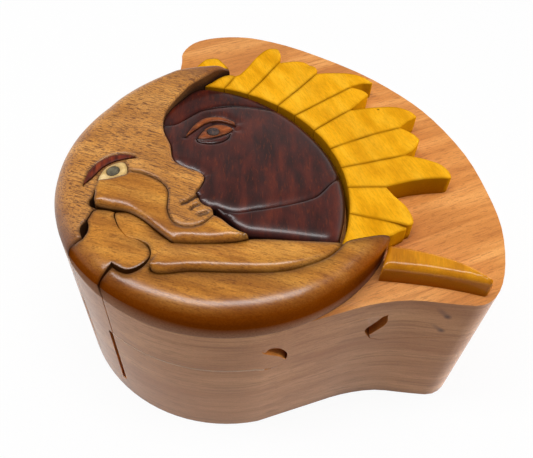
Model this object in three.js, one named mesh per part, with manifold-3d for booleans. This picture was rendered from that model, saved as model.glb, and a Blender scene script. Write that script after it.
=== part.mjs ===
// Sun and moon puzzle box: a beech block sawn into base, lid and key, with an inlaid wood picture on the lid.
// Millimetres. X to the right, Y away from the front, Z up. The origin is on the bottom face, under the middle.

import * as THREE from 'three';
import { mergeVertices } from 'three/addons/utils/BufferGeometryUtils.js';
import Module from 'manifold-3d';

const wasm = await Module();
wasm.setup();

// Heights
const floorTop = 7;
const liningThickness = 1;
const beechTop = 50;
const moonTop = 59.5;
const jawTop = 59.1;
const rayTop = 56.2;

// Saw cuts
const kerf = 0.3;
const seamGap = 0.2;
const keyClearance = 0.1;

// Moon disc, flush with the beech on the front and left
const moonCentre = [-13.8, -13.6];
const moonRadius = 45.2;
const moonSteps = 96;

// The moon's rim by its angle: width of the rounding, height where the rounding starts, and fall of the top
const rimShape = [
  { angle: 95, rounding: 3, band: 56.5, fall: 0 },
  { angle: 116, rounding: 3, band: 56.5, fall: 0 },
  { angle: 147, rounding: 8, band: 52.5, fall: 1 },
  { angle: 205, rounding: 8, band: 52.5, fall: 1 },
  { angle: 232, rounding: 6, band: 54.6, fall: 0 },
  { angle: 255, rounding: 6, band: 55.2, fall: 0 },
  { angle: 315, rounding: 6, band: 55.2, fall: 0 },
  { angle: 336, rounding: 3, band: 56.2, fall: 0 },
];
const fallReach = 15;

// Sun disc, partly behind the moon's face
const sunCentre = [-25.5, -20.5];
const sunRadius = 42.4;
const sunSteps = 72;
const raysInnerRadius = 43.3;

// The sun's face: its height at a middle point, slopes to the right and away, and bow
const sunFace = { at: [-8, -10], height: 58.8, slopeX: -0.085, slopeY: -0.08, bow: 0.0012 };
const sunRimRounding = { width: 3, drop: 2 };

// Slopes of the carved tops, and how far small pieces stand above what surrounds them
const moonRise = 0.06;
const moonRiseLimit = 1.2;
const hornTip = { fromX: -22, behindY: 20, fall: 0.15 };
const cheekPlane = { at: [-30, -30], height: 60.4, slopeX: 0, slopeY: -0.03, bow: 0 };
const foldPlane = { at: [0, -38], height: 58.9, slopeX: 0, slopeY: -0.2, bow: 0 };
const rise = { brow: 0.15, upperLid: 0.6, sunEye: 0.1, lowerLid: 0.2 };

const pupilRadius = 1.7;
const discReach = 4;
const discLift = 4;

// Outline helpers

function smooth(points, stepsPerSpan = 3) {
  const curve = new THREE.SplineCurve(points.map(([x, y]) => new THREE.Vector2(x, y)));
  return curve.getPoints((points.length - 1) * stepsPerSpan).map((p) => [p.x, p.y]);
}

function arc([cx, cy], radius, fromDegrees, toDegrees, steps) {
  return Array.from({ length: steps + 1 }, (_, i) => {
    const angle = THREE.MathUtils.degToRad(fromDegrees + (toDegrees - fromDegrees) * (i / steps));
    return [cx + radius * Math.cos(angle), cy + radius * Math.sin(angle)];
  });
}

function reversed(points) {
  return [...points].reverse();
}

function signedArea(points) {
  let area = 0;
  points.forEach(([x, y], i) => {
    const [nextX, nextY] = points[(i + 1) % points.length];
    area += (x * nextY - nextX * y) / 2;
  });
  return area;
}

// Joins stretches into one outline, drops points that coincide, and runs it anticlockwise.
function outlineOf(...stretches) {
  const points = stretches.flat();
  const apart = points.filter(([x, y], i) => {
    const [nextX, nextY] = points[(i + 1) % points.length];
    return Math.hypot(nextX - x, nextY - y) > 0.05;
  });
  return signedArea(apart) > 0 ? apart : reversed(apart);
}

// Inward direction at each corner of an anticlockwise outline, longer where the corner is sharper.
function inwardNormals(points) {
  return points.map(([x, y], i) => {
    const [beforeX, beforeY] = points[(i + points.length - 1) % points.length];
    const [afterX, afterY] = points[(i + 1) % points.length];
    const first = new THREE.Vector2(beforeY - y, x - beforeX).normalize();
    const second = new THREE.Vector2(y - afterY, afterX - x).normalize();
    const middle = first.clone().add(second).normalize();
    const stretch = 1 / Math.max(0.6, middle.dot(second));
    return [middle.x * stretch, middle.y * stretch];
  });
}

// Half of the local width, measured with the largest circle that touches the outline at each corner.
function roomInside(points, normals) {
  return points.map(([x, y], i) => {
    const length = Math.hypot(...normals[i]);
    const unit = [normals[i][0] / length, normals[i][1] / length];
    let room = Infinity;
    points.forEach(([otherX, otherY], j) => {
      const across = (otherX - x) * unit[0] + (otherY - y) * unit[1];
      const squared = (otherX - x) ** 2 + (otherY - y) ** 2;
      if (j !== i && across > 1e-6) room = Math.min(room, squared / (2 * across));
    });
    return room;
  });
}

function inset(points, distance) {
  const normals = inwardNormals(points);
  const room = roomInside(points, normals);
  return points.map(([x, y], i) => {
    const step = Math.sign(distance) * Math.min(Math.abs(distance), distance > 0 ? 0.6 * room[i] : Infinity);
    return [x + normals[i][0] * step, y + normals[i][1] * step];
  });
}

// Solid helpers

function solidOf(geometry) {
  geometry.deleteAttribute('normal');
  geometry.deleteAttribute('uv');
  const merged = mergeVertices(geometry, 1e-4);
  return new wasm.Manifold(new wasm.Mesh({
    numProp: 3,
    vertProperties: Float32Array.from(merged.attributes.position.array),
    triVerts: Uint32Array.from(merged.index.array),
  }));
}

function geometryOf(solid) {
  const { vertProperties, triVerts } = solid.getMesh();
  const geometry = new THREE.BufferGeometry();
  geometry.setAttribute('position', new THREE.BufferAttribute(Float32Array.from(vertProperties), 3));
  geometry.setIndex(new THREE.BufferAttribute(Uint32Array.from(triVerts), 1));
  geometry.computeVertexNormals();
  return geometry;
}

function prism(outline, bottom, top) {
  const shape = new THREE.Shape(outline.map(([x, y]) => new THREE.Vector2(x, y)));
  const geometry = new THREE.ExtrudeGeometry(shape, { depth: top - bottom, bevelEnabled: false });
  return solidOf(geometry.translate(0, 0, bottom));
}

// Stacks rings of equal count and fills both ends, laid out as the outline's triangles.
function stacked(rings, outline) {
  const count = outline.length;
  const index = [];
  for (let layer = 0; layer < rings.length - 1; layer++) {
    for (let i = 0; i < count; i++) {
      const low = layer * count + i;
      const lowNext = layer * count + ((i + 1) % count);
      index.push(low, lowNext, lowNext + count, low, lowNext + count, low + count);
    }
  }
  const topStart = (rings.length - 1) * count;
  const corners = outline.map(([x, y]) => new THREE.Vector2(x, y));
  THREE.ShapeUtils.triangulateShape(corners, []).forEach(([a, b, c]) => {
    index.push(topStart + a, topStart + b, topStart + c, a, c, b);
  });
  const geometry = new THREE.BufferGeometry();
  geometry.setAttribute('position', new THREE.Float32BufferAttribute(rings.flat(2), 3));
  geometry.setIndex(index);
  return solidOf(geometry);
}

// An upright piece whose top follows a surface and whose upper edges are eased by a few inset rings.
function carved(outline, bottom, surface, easing) {
  const ringAt = ([distance, drop]) => (
    inset(outline, distance).map(([x, y]) => [x, y, surface(x, y) - drop])
  );
  return stacked([outline.map(([x, y]) => [x, y, bottom]), ...easing.map(ringAt)], outline);
}

// A round block whose upper side follows a surface. Each ring is a distance in from the rim and a lift.
function crownedDisc(centre, radius, steps, surface, rings) {
  const circle = (distance) => arc(centre, radius - distance, 0, 360 * (1 - 1 / steps), steps - 1);
  const ringAt = ([distance, lift]) => circle(distance).map(([x, y]) => [x, y, surface(x, y) + lift]);
  return stacked([circle(0).map(([x, y]) => [x, y, beechTop]), ...rings.map(ringAt)], circle(0));
}

// Eased edges: steps of distance in from the outline and drop below the surface. The dome edge ends above the
// surface, because the dome then cuts it.
const woodEdge = [[0, 1.1], [0.45, 0.35], [1.3, 0]];
const domeEdge = [[0, 1.6], [0.6, 0.6], [1.5, 0.1], [3, -3]];
const rayEdge = [[0, 0.6], [0.7, 0]];
const smallEdge = [[0, 0.4], [0.4, 0]];

// Beech block outline: the moon's circle at the front left, then round the back and down the right side

const moonSide = arc(moonCentre, moonRadius, 285, 120, 44);
const beechBack = smooth([
  [-36.6, 25.5], [-34.5, 33], [-34.3, 42], [-34.7, 47.5], [-31.7, 53.6], [-25.5, 57.2], [-17, 58.8], [-8.6, 58],
  [4.5, 53.6], [23.6, 43.2], [37.1, 32.1], [46, 21.3], [53.6, 6.5], [57.4, -7.9], [59, -20.5], [57.6, -32.6],
  [54.6, -41], [50, -45.3], [42.7, -45.6], [32.5, -45.3], [22.5, -47.4], [11.6, -51.7], [-2.1, -57.26],
], 3);
const blockOutline = outlineOf(moonSide, beechBack);

// Level saw cut between base and lid, seen from the front as x and z, with the tongue that guides the lid

const seamReach = 66;
const seamLeft = [
  [-seamReach, 33.6], [-8, 33.6], [-3.4, 33.3], [-1.2, 32.4], [0.4, 31.7], [1.9, 31.6], [3.1, 32.6],
  [3.9, 34.2],
];
const tongueLeft = [
  [4.1, 35.8], [4, 37.3], [3.6, 38.7], [2.9, 40], [2.1, 41.1], [1.1, 41.9], [0.2, 42.2], [-0.5, 42.1],
  [-0.9, 41.6], [-1.05, 41],
];
const tongueHead = [[-1.5, 41], [-1.9, 41.8], [-1.7, 43], [-1.1, 43.4], [27.6, 44], [28.05, 43.85]];
const tongueRight = [
  [28, 43.55], [27.5, 43.35], [27, 43.05], [26.5, 42.3], [25.9, 41.3], [25.1, 40.4], [24.1, 39.4],
  [23.5, 38.5], [23.35, 37.5], [23.6, 36.4], [24.1, 35.3],
];
const seamRight = [
  [24.6, 34.4], [25.4, 32.9], [28.5, 31.3], [32.4, 31.5], [36.2, 32.3], [42.4, 33.7], [47.2, 34.8],
  [seamReach, 36],
];
const grooveLeft = [
  [3.1, 35.5], [2.3, 36.9], [0.7, 38.5], [-0.6, 39.6], [-1.2, 40.3], [-1.8, 40.8],
];
const grooveRoof = [[-2.15, 41.8], [-1.95, 43.2], [-1.2, 43.6], [27.7, 44.2]];
const grooveRight = [
  [28.3, 43.95], [28.3, 43.3], [28.3, 42.6], [28.6, 41.5], [28.65, 40.3], [28.3, 38.9], [26.9, 37],
  [25.5, 35.4], [25, 34.85], [25.5, 33.2],
];

function frontProfile(points, closeAt) {
  const shape = new THREE.Shape(points.map(([x, z]) => new THREE.Vector2(x, z)));
  shape.lineTo(seamReach, closeAt);
  shape.lineTo(-seamReach, closeAt);
  const geometry = new THREE.ExtrudeGeometry(shape, { depth: 2 * seamReach, bevelEnabled: false });
  return solidOf(geometry.rotateX(Math.PI / 2).translate(0, seamReach, 0));
}

// Key: the kerf line round it as the lid sees it, and its own outline, with the open lozenge on its left

const pocketLeft = [
  [-52.6, -42.3], [-49.7, -40.6], [-47.8, -40.1], [-46.1, -39], [-47, -37.2], [-47.1, -35.6],
  [-46.3, -34.1], [-45.8, -32.3], [-45.5, -30.9], [-44.6, -30],
];
const pocketRight = [
  [-39.7, -30.9], [-39.6, -32.5], [-38, -35.6], [-36.4, -37.5], [-35.1, -38.6], [-33, -39.1], [-30.5, -40.4],
  [-29.3, -42.1], [-29.2, -44.3], [-30.1, -46.4], [-31.9, -48.1], [-33.8, -48.7], [-36.2, -47.8],
];
const pocketFoot = [[-37.1, -47.1], [-38.2, -48.3], [-40.2, -50.4], [-42, -55]];
const pocketOutline = outlineOf(pocketLeft, [[-41.3, -30.4]], smooth(pocketRight, 2), pocketFoot);
const keyOutline = outlineOf(
  [[-54.6, -43.9], [-49.6, -41], [-47.7, -40.5], [-45.6, -39.4]],
  [[-44.9, -37.4], [-45.1, -35.4], [-45.7, -33.9]],
  [[-45.4, -32.3], [-45.1, -31.1], [-44.4, -30.5], [-41.4, -30.9]],
  smooth([
    [-40.2, -31.3], [-40.1, -32.6], [-38.5, -35.8], [-36.8, -37.9], [-35.4, -39.1], [-33.3, -39.6],
    [-30.9, -40.9], [-29.8, -42.3], [-29.7, -44], [-30.7, -45.7], [-32.2, -47], [-33.8, -47.6],
    [-35.9, -46.8],
  ], 2),
  [[-37.6, -45.8], [-39, -48.2], [-40.9, -50.8], [-42.7, -55]],
);
const keyFoot = outlineOf([
  [-54.6, -43.9], [-49.6, -41], [-47.7, -40.5], [-45.6, -39.4], [-44.9, -38.4], [-44.9, -33], [-41.6, -33],
  [-41.6, -55],
]);
const keyRecess = outlineOf([
  [-54.6, -43.4], [-49.7, -40.6], [-47.8, -40.1], [-45.9, -39.1], [-45.2, -38.2], [-45.2, -32.7],
  [-40.4, -32.7], [-40.4, -seamReach], [-54.6, -seamReach],
]);

const compartmentOutline = outlineOf(smooth([
  [-48, -14], [-45.5, -1], [-37.5, 10.5], [-27.5, 19], [-23.6, 28], [-23.6, 39], [-20.5, 46],
  [-14, 47.6], [-6.5, 46.5], [1, 43.5], [17, 35], [29, 25], [38, 13], [44, 0], [47.2, -14], [47.2, -25],
  [44.5, -32.5], [38, -34.8], [29, -34.8], [19, -37.3], [9, -41.5], [-3, -46], [-14, -47.6],
  [-24, -45.5], [-30, -40], [-33.3, -31.5], [-37.5, -25.8], [-43, -24.4], [-46.7, -20.5], [-48, -14],
], 2));

// Moon picture lines

const moonInner = smooth([
  [-17.5, 31.1], [-20.9, 27.4], [-24.8, 22.3], [-28.3, 17.9], [-31.9, 9.6], [-33.2, 3.6], [-32.4, -2.4],
  [-29.8, -8], [-28.7, -12.3], [-27, -14.7], [-23.8, -16.3],
], 3);
const noseAndLips = [
  [-21.2, -17.2], [-19.9, -18.1], [-19.5, -19.4], [-20.1, -22.6], [-20.9, -24.6], [-20, -25.8],
  [-19.6, -27.2], [-18.4, -28.3], [-16.9, -28.9], [-16.2, -29.9], [-15.9, -31.3],
];
const cheekContour = smooth([
  [-39.1, -18.2], [-35.9, -18.6], [-32.6, -20], [-29.6, -22], [-27.8, -24.9], [-27.3, -30], [-25.8, -33.6],
  [-23.6, -35.4], [-20.6, -35.6], [-17.8, -34], [-15.9, -31.3],
], 2);
const eyeFoot = [[-39.2, -19.3], [-43, -21.2], [-45.7, -22]];
const cheekHook = [[-46, -24.5], [-45.6, -26.6], [-45.4, -28.2], [-45.1, -29.5]];
const crownByHook = [[-46.2, -24.5], [-46.4, -26.3], [-46.9, -27.9], [-46.5, -29.2], [-45.5, -29.9]];
const ridgeFoot = smooth([
  [-45.1, -29.5], [-41.3, -30.2], [-37.3, -30.8], [-33.6, -32.7], [-28.4, -36.8], [-24.7, -39.6],
], 2);
const ridgeTail = smooth([[-24.7, -39.6], [-19, -39.3], [-13.5, -38.7], [-9, -37.7], [-6.9, -36.7]], 2);
const cheekUnderSun = [[-8.9, -36], [-11.5, -34.5], [-13.9, -32.4]];
const foldUpper = [[-6.9, -36.7], [-4.4, -36.3], [4.7, -36], [14.2, -35.8], [15.8, -36]];
const foldLower = smooth([
  [15.8, -36], [12.8, -39.6], [8.6, -42.4], [2.9, -44.9], [-3.2, -46.1], [-11.3, -46.6], [-19.3, -47],
  [-23.5, -47.9], [-26.4, -48.3], [-28.2, -47.8], [-28.7, -46.4], [-27.7, -43.6], [-26.5, -41],
  [-24.7, -39.6],
], 2);
const lowerHorn = smooth([[15.8, -36], [17, -35.1], [21.2, -33.7], [24.8, -32.7], [27.4, -31.9]], 2);
const eyeOutline = outlineOf(eyeFoot, smooth([
  [-45.7, -22], [-46.3, -20.9], [-45.9, -18.6], [-45, -16.8], [-43.2, -15.5], [-41.4, -14.9], [-40.3, -15.5],
  [-39.4, -17.3], [-39.2, -19.3],
], 2));
const browOutline = outlineOf(smooth([
  [-49.7, -22.6], [-49.4, -18.2], [-47.6, -14.8], [-44.5, -12.5], [-40.8, -12.1], [-38, -13.1],
], 2), smooth([
  [-38, -13.1], [-40.5, -13.7], [-43.4, -14.7], [-45.9, -16.5], [-47.8, -19.8], [-49.7, -22.6],
], 2));
const moonPupilAt = [-43, -18];

// Moon pieces reach past the rim and are cut back to the rounded disc.

const beyondRim = moonRadius + discReach;
const hornOuter = arc(moonCentre, beyondRim, 94.9, 215.5, 30);
const jawOuter = arc(moonCentre, beyondRim, 236, 336.1, 26);

const crownOutline = outlineOf(
  hornOuter, pocketLeft, reversed(crownByHook), reversed(eyeFoot), cheekContour, reversed(noseAndLips),
  reversed(moonInner),
);
const cheekOutline = outlineOf(cheekHook, ridgeFoot, ridgeTail, cheekUnderSun, reversed(cheekContour), eyeFoot);
const foldOutline = outlineOf(reversed(ridgeTail), reversed(foldLower), reversed(foldUpper));
const jawOutline = outlineOf(
  jawOuter, reversed(lowerHorn), foldLower, reversed(ridgeFoot.slice(4)), smooth(pocketRight, 2), pocketFoot,
);

// Sun picture lines

const sunRim = (from, to, steps) => arc(sunCentre, sunRadius, from, to, steps);
const foreheadLine = smooth([
  [-32.6, 0.4], [-29.8, 1.6], [-26.7, 5.5], [-24.2, 9], [-21.1, 11.1], [-16.9, 12.9], [-12.2, 13.9],
  [-6.5, 14], [-1.2, 14.2],
], 2);
const jawLine = smooth([
  [-15.6, -28.7], [-11.1, -29.9], [-6.5, -28.4], [-1.9, -26.7], [4.2, -23.9], [9.3, -20.6],
  [12.8, -15.4], [15.9, -11.4],
], 2);
const sunFoot = [
  [14.2, -35.2], [4.7, -35.4], [-4.4, -35.6], [-7.4, -35.6], [-9.6, -34.4], [-12.2, -32], [-14.6, -30],
];
const sunBehindHorn = moonInner.slice(7, 18);
const sunBehindBrow = moonInner.slice(17);

const foreheadOutline = outlineOf(sunRim(55, 89, 10), sunBehindHorn, foreheadLine);
const sunFaceOutline = outlineOf(
  reversed(foreheadLine), sunBehindBrow, noseAndLips.slice(0, 9), jawLine, sunRim(12.4, 55, 12),
);
const sunJawOutline = outlineOf(jawLine, sunRim(12.4, -19, 9), sunFoot);

const upperLidOutline = outlineOf(
  smooth([[-26.4, -3.6], [-25.4, 0.2], [-23.4, 4.4], [-20.6, 6.4], [-17, 6.8], [-13.9, 5.2]], 2),
  smooth([[-13.6, 4], [-18.4, 4.8], [-21.7, 3.4], [-23.9, 0.3], [-26.4, -3.6]], 2),
);
const sunEyeOutline = outlineOf(
  smooth([[-23.2, -3.6], [-21.6, 0.9], [-19, 3.3], [-16, 3.5], [-13.9, 2.3]], 2),
  smooth([[-13.9, 2.3], [-15.1, 0.4], [-18, -1.8], [-21.3, -3.6], [-23.2, -3.6]], 2),
);
const lowerLidOutline = outlineOf(
  smooth([[-23.4, -4.1], [-21.3, -4.2], [-17.8, -2.3], [-14.8, 0.1]], 2),
  smooth([[-14.8, 0.1], [-14.9, -1.7], [-16.6, -4], [-19.6, -5.4], [-22.6, -5.2], [-23.4, -4.1]], 2),
);
const sunPupilAt = [-19.3, 0];

// Rays: cuts between neighbours, each from an angle on the sun's edge out to the notch where the tips part,
// and the tip of each ray from one notch to the next

const rayCuts = [
  { angle: 88.5, bend: [-21.7, 25.6], notch: [-18.2, 29.7] },
  { angle: 80.6, bend: [-16.7, 25.9], notch: [-15.7, 29] },
  { angle: 70.6, bend: [-7.3, 27.3], notch: [-2.6, 36.5] },
  { angle: 57.1, bend: [5.2, 26], notch: [9.4, 32.4] },
  { angle: 48.6, bend: [11.7, 19.5], notch: [19.9, 26.7] },
  { angle: 37.8, bend: [14.2, 11.3], notch: [19.3, 15.9] },
  { angle: 26.6, bend: [24.5, 5.4], notch: [33.4, 9.5] },
  { angle: 16.4, bend: [26, -4.7], notch: [34, -1.7] },
  { angle: 6.8, bend: [22.9, -14.8], notch: [27.8, -14.3] },
  { angle: -5.2, bend: [24, -25.6], notch: [32.1, -27] },
];
const rayTips = [
  [[-17.4, 30.4], [-16.6, 30.7], [-15.9, 30.1]],
  [[-14.4, 29.6], [-12.3, 33.3], [-9.5, 39.5], [-6.3, 44.5], [-4.4, 46.1], [-2.9, 44.8], [-1.9, 40.5]],
  [[-1.5, 37.1], [4.3, 38.6], [7.1, 38.4], [9, 36.6], [9.8, 34.2]],
  [[11.2, 32.9], [18.4, 33.9], [23.7, 33], [26.6, 31.8], [26.9, 30.3], [23.9, 29.2]],
  [[22.8, 26.6], [25.4, 25.5], [24.6, 23.3], [21.9, 19.2]],
  [[22.5, 16.9], [27.8, 18.3], [33.5, 18.8], [38.5, 17.2], [39.1, 15.6], [36, 12.4]],
  [[37.9, 7.8], [38.9, 6.4], [38.3, 3.8], [36.5, 0.6]],
  [[38.7, -2.6], [43.5, -4.4], [45.9, -6.7], [46.1, -8], [45.3, -9.2], [41.4, -10], [35, -11.5]],
  [[29.7, -17.3], [32.4, -20.5], [34, -23.7], [34.1, -25], [33.5, -26.2]],
];
const rayOverHorn = outlineOf([
  [-27.4, 33.2], [-25.4, 37], [-23.8, 38.7], [-22.2, 38], [-20.2, 35.4], [-18, 32.6], [-18.4, 32],
], arc(moonCentre, moonRadius + 0.5, 97, 110, 3));
const rayAboveLowerHorn = [[32.1, -27.6], [30, -29.1], [27.6, -30.9], [22.1, -32.7], [16.9, -34.4]];
const rayByRim = outlineOf(
  [[27, -33.9], [32.8, -34.6], [39.2, -35.9], [44.3, -37.6], [48.1, -39.9], [50.6, -41.8], [51.3, -42.6]],
  [[50.4, -43], [46, -42.1], [38, -41], [31, -40.5], [24.9, -40.3]],
);

function cutLine({ angle, bend, notch }) {
  const [start] = arc(sunCentre, raysInnerRadius, angle, angle, 1);
  return smooth([start, bend, notch], 3);
}

function rayOutlines() {
  const between = rayTips.map((tip, i) => {
    const left = rayCuts[i];
    const right = rayCuts[i + 1];
    const outerEnd = smooth([left.notch, ...tip, right.notch], 2);
    const innerEnd = arc(sunCentre, raysInnerRadius, right.angle, left.angle, 3);
    return outlineOf(cutLine(left), outerEnd, reversed(cutLine(right)), innerEnd);
  });
  const last = rayCuts.at(-1);
  const lastInnerEnd = arc(sunCentre, raysInnerRadius, -18.8, last.angle, 4);
  const beforeHorn = outlineOf(cutLine(last), rayAboveLowerHorn, lastInnerEnd);
  return [rayOverHorn, ...between, beforeHorn, rayByRim];
}

// Upper surfaces

const fromRim = ([cx, cy], radius) => (x, y) => Math.max(0, radius - Math.hypot(x - cx, y - cy));
const fromMoonRim = fromRim(moonCentre, moonRadius);
const fromSunRim = fromRim(sunCentre, sunRadius);

function rimAt(x, y) {
  const turn = THREE.MathUtils.radToDeg(Math.atan2(y - moonCentre[1], x - moonCentre[0]));
  const angle = THREE.MathUtils.clamp((turn + 360) % 360, rimShape[0].angle, rimShape.at(-1).angle);
  const next = rimShape.findIndex((station) => station.angle >= angle) || 1;
  const [before, after] = [rimShape[next - 1], rimShape[next]];
  const share = (angle - before.angle) / (after.angle - before.angle);
  const between = (key) => THREE.MathUtils.lerp(before[key], after[key], share);
  return { rounding: between('rounding'), band: between('band'), fall: between('fall') };
}

// Level of a moon piece away from its rounded rim
const moonFace = (top, riseLimit) => (x, y) => {
  const { rounding, fall } = rimAt(x, y);
  const inside = fromMoonRim(x, y) - rounding;
  const rising = THREE.MathUtils.clamp(inside * moonRise, 0, riseLimit);
  const falling = fall * (1 - THREE.MathUtils.clamp(inside / fallReach, 0, 1));
  const tip = y > hornTip.behindY ? hornTip.fall * Math.max(0, x - hornTip.fromX) ** 2 : 0;
  return top + rising - falling - tip;
};

// The same level with the rounding of the rim
const rimmed = (surface) => (x, y) => {
  const { rounding, band } = rimAt(x, y);
  const level = surface(x, y);
  const start = Math.min(band, level - 0.2);
  const away = 1 - Math.min(1, fromMoonRim(x, y) / rounding);
  return start + (level - start) * Math.sqrt(1 - away ** 2);
};

const sloped = ({ at, height, slopeX, slopeY, bow }) => (x, y) => {
  const [dx, dy] = [x - at[0], y - at[1]];
  return height + slopeX * dx + slopeY * dy - bow * (dx ** 2 + dy ** 2);
};

const moonSurface = moonFace(moonTop, moonRiseLimit);
const jawSurface = moonFace(jawTop, 0);
const cheekSurface = sloped(cheekPlane);
const foldSurface = sloped(foldPlane);
const sunSurface = sloped(sunFace);
const raySurface = () => rayTop;
const above = (surface, height) => (x, y) => surface(x, y) + height;

const sunRimSurface = (x, y) => {
  const away = 1 - Math.min(1, fromSunRim(x, y) / sunRimRounding.width);
  return sunSurface(x, y) - sunRimRounding.drop * (1 - Math.sqrt(1 - away ** 2));
};

// Round blocks that the moon's and the sun's pieces are cut to: a rounded rim, and for the sun its whole face

const moonRings = [[0, 0], [0.3, 0], [1, 0], [2.1, 0], [3.7, 0], [5.6, 0], [8.2, 0], [8.6, discLift]];
const sunRings = [[0, 0], [0.3, 0], [1.2, 0], [3.5, 0], [10, 0], [18, 0], [26, 0], [34, 0], [41.6, 0]];
const crownDisc = crownedDisc(moonCentre, moonRadius, moonSteps, rimmed(moonSurface), moonRings);
const jawDisc = crownedDisc(moonCentre, moonRadius, moonSteps, rimmed(jawSurface), moonRings);
const sunDisc = crownedDisc(sunCentre, sunRadius, sunSteps, sunRimSurface, sunRings);

// Beech pieces

const blockPrism = prism(blockOutline, floorTop, beechTop);

function baseBlock() {
  const top = frontProfile([...seamLeft, ...tongueLeft, ...tongueHead, ...tongueRight, ...seamRight], 0);
  const hollow = prism(compartmentOutline, 0, beechTop);
  return blockPrism.intersect(top).subtract(hollow).subtract(prism(keyRecess, 0, beechTop));
}

function lidBlock() {
  const raised = (points) => points.map(([x, z]) => [x, z + seamGap]);
  const profile = [
    ...raised(seamLeft), ...grooveLeft, ...grooveRoof, ...grooveRight, ...raised(seamRight.slice(2)),
  ];
  const upper = blockPrism.intersect(frontProfile(profile, beechTop + 10));
  return upper.subtract(prism(pocketOutline, 0, beechTop + 1));
}

function keyColumn() {
  const seamAtKey = seamLeft[0][1];
  const upper = prism(keyOutline, seamAtKey, beechTop);
  const lower = prism(keyFoot, floorTop + keyClearance, seamAtKey + 1);
  return upper.add(lower).intersect(blockPrism);
}

function liningSheet() {
  return prism(inset(compartmentOutline, 0.4), floorTop, floorTop + liningThickness);
}

// Inlaid pieces stand on the lid, each with half a kerf taken off all round.

function inlay(outline, surface, easing) {
  return carved(inset(outline, kerf / 2), beechTop, surface, easing);
}

function pocketFor(outline) {
  return prism(inset(outline, -kerf / 2), beechTop - 1, beechTop + 20);
}

const pupilOutline = (centre) => arc(centre, pupilRadius, 0, 345, 23);
const domed = (outline) => inlay(outline, sunSurface, domeEdge).intersect(sunDisc);

function moonCrown() {
  const top = inlay(crownOutline, moonSurface, woodEdge).intersect(crownDisc);
  return top.subtract(pocketFor(browOutline)).subtract(pocketFor(eyeOutline));
}

function sunFacePiece() {
  const openings = [upperLidOutline, sunEyeOutline, lowerLidOutline].map(pocketFor);
  return openings.reduce((face, opening) => face.subtract(opening), domed(sunFaceOutline));
}

function eye(outline, surface, pupilAt) {
  return inlay(outline, surface, smallEdge).subtract(pocketFor(pupilOutline(pupilAt)));
}

const beech = { color: 0xc9935f, roughness: 0.6 };
const palm = { color: 0x9a5f27, roughness: 0.35 };
const keruing = { color: 0xa66a30, roughness: 0.4 };
const rosewood = { color: 0x3f1a17, roughness: 0.25 };
const redwood = { color: 0x8f3a1c, roughness: 0.35 };
const yellowheart = { color: 0xd79a1c, roughness: 0.45 };
const maple = { color: 0xecc573, roughness: 0.4 };
const grey = { color: 0x5c5a3e, roughness: 0.4 };
const felt = { color: 0x1c1a1a, roughness: 1 };

const baseParts = {
  base_floor: [prism(blockOutline, 0, floorTop), beech],
  base_block: [baseBlock(), beech],
  floor_lining: [liningSheet(), felt],
};

const keyParts = {
  key_column: [keyColumn(), beech],
  key_face: [carved(keyOutline, beechTop, jawSurface, woodEdge).intersect(jawDisc), keruing],
};

const lidParts = {
  lid_block: [lidBlock(), beech],
  moon_crown: [moonCrown(), palm],
  moon_cheek: [inlay(cheekOutline, cheekSurface, woodEdge), keruing],
  moon_fold: [inlay(foldOutline, foldSurface, woodEdge), keruing],
  moon_jaw: [inlay(jawOutline, jawSurface, woodEdge).intersect(jawDisc), keruing],
  moon_brow: [inlay(browOutline, above(moonSurface, rise.brow), smallEdge), redwood],
  moon_eye: [eye(eyeOutline, moonSurface, moonPupilAt), maple],
  moon_pupil: [inlay(pupilOutline(moonPupilAt), moonSurface, smallEdge), grey],
  sun_forehead: [domed(foreheadOutline), rosewood],
  sun_face: [sunFacePiece(), rosewood],
  sun_jaw: [domed(sunJawOutline), rosewood],
  sun_upper_lid: [inlay(upperLidOutline, above(sunSurface, rise.upperLid), smallEdge), redwood],
  sun_eye: [eye(sunEyeOutline, above(sunSurface, rise.sunEye), sunPupilAt), redwood],
  sun_pupil: [inlay(pupilOutline(sunPupilAt), above(sunSurface, rise.sunEye), smallEdge), grey],
  sun_lower_lid: [inlay(lowerLidOutline, above(sunSurface, rise.lowerLid), smallEdge), rosewood],
};
rayOutlines().forEach((outline, i) => {
  lidParts[`sun_ray_${String(i + 1).padStart(2, '0')}`] = [inlay(outline, raySurface, rayEdge), yellowheart];
});

function assembly(parts) {
  const group = new THREE.Group();
  Object.entries(parts).forEach(([name, [solid, finish]]) => {
    const mesh = new THREE.Mesh(geometryOf(solid), new THREE.MeshStandardMaterial({ ...finish, metalness: 0 }));
    mesh.name = name;
    group.add(mesh);
  });
  return group;
}

const group = new THREE.Group();
group.add(assembly(baseParts), assembly(lidParts), assembly(keyParts));

export default group;
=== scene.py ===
import math

import bmesh
import bpy
import numpy as np
from mathutils import Matrix, Vector, geometry, noise


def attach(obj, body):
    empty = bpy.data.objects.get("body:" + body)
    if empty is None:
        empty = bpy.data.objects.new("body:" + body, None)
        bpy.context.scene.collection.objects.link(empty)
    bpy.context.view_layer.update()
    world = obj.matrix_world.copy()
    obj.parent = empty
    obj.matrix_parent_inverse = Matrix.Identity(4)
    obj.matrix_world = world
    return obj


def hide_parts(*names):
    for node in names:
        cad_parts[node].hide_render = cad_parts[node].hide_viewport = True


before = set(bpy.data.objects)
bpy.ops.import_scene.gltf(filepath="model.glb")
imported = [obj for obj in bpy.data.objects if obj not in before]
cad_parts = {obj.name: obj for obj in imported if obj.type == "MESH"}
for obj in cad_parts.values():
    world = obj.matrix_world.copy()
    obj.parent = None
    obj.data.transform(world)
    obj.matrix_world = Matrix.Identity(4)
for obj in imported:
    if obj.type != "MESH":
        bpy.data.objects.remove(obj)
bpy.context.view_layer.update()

mm = 0.001

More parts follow.
